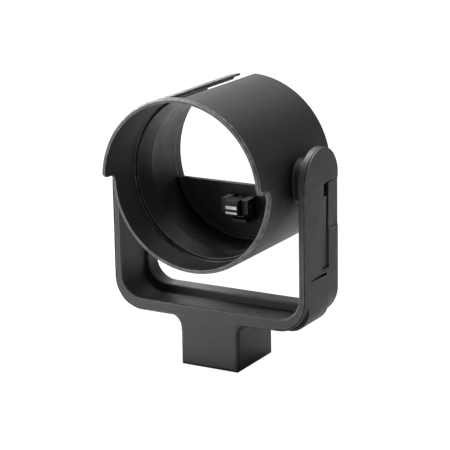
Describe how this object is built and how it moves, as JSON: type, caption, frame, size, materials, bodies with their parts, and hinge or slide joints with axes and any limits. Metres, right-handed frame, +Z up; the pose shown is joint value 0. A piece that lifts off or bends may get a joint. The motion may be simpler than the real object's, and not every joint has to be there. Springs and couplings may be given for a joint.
{
  "type": "single prism holder",
  "caption": "Empty tilting prism holder: an open barrel with a sun-hood lip, half rear plate and latch, hung in a U-shaped yoke on a spigot socket.",
  "frame": {"origin": "centre of the bounding box's bottom, on the bottom face of the socket block, 5.3 mm in front of the socket bore's axis", "axes": "+Z up along the socket bore, +X along the tilt axis towards the arm on the right when facing the open front of the barrel from behind, -Y out of the open front of the barrel"},
  "size_m": [0.0958, 0.0644, 0.1247],
  "materials": {
    "black_plastic": "fine moulded grain, matte",
    "latch_plastic": "smooth moulded, matte",
    "button_plastic": "moulded, ribbed thumb face",
    "bearing_plastic": "natural acetal",
    "friction_fibre": "pressed fibre",
    "brass": "reamed",
    "steel": "plain turned or stamped",
    "bright_steel": "bright, ground"
  },
  "bodies": {
    "yoke": {"yoke_frame": "black_plastic", "stub_socket_sleeve": "brass", "lock_cover": "black_plastic", "lock_cover_screw_left": "steel", "lock_cover_screw_right": "steel", "lock_spring": "steel", "trunnion_pin_left": "steel", "trunnion_pin_right": "steel", "friction_washer_left": "friction_fibre", "friction_washer_right": "friction_fibre", "spring_washer_left": "steel", "spring_washer_right": "steel"},
    "stub_lock": {"lock_slide": "steel", "lock_button": "button_plastic"},
    "barrel": {"barrel_shell": "black_plastic", "seat_liner": "black_plastic", "rear_half_plate": "black_plastic", "trunnion_bush_left": "bearing_plastic", "trunnion_bush_right": "bearing_plastic", "latch_pivot_pin": "steel", "latch_spring": "steel"},
    "latch": {"latch_lever": "latch_plastic", "latch_tooth_upper": "bright_steel", "latch_tooth_lower": "bright_steel"}
  },
  "joints": [
    {"name": "barrel_tilt", "type": "hinge", "parent": "yoke", "child": "barrel", "pos_m": [0, 0.0053, 0.086], "axis": [1, 0, 0], "range_deg": [-90, 90]},
    {"name": "stub_lock_push", "type": "slide", "parent": "yoke", "child": "stub_lock", "axis": [0, -1, 0], "range_m": [0, 0.0018], "deforming": ["lock_spring"]},
    {"name": "latch_release", "type": "hinge", "parent": "barrel", "child": "latch", "pos_m": [0, 0.0168, 0.068], "axis": [-1, 0, 0], "range_deg": [0, 12], "deforming": ["latch_spring"]}
  ]
}
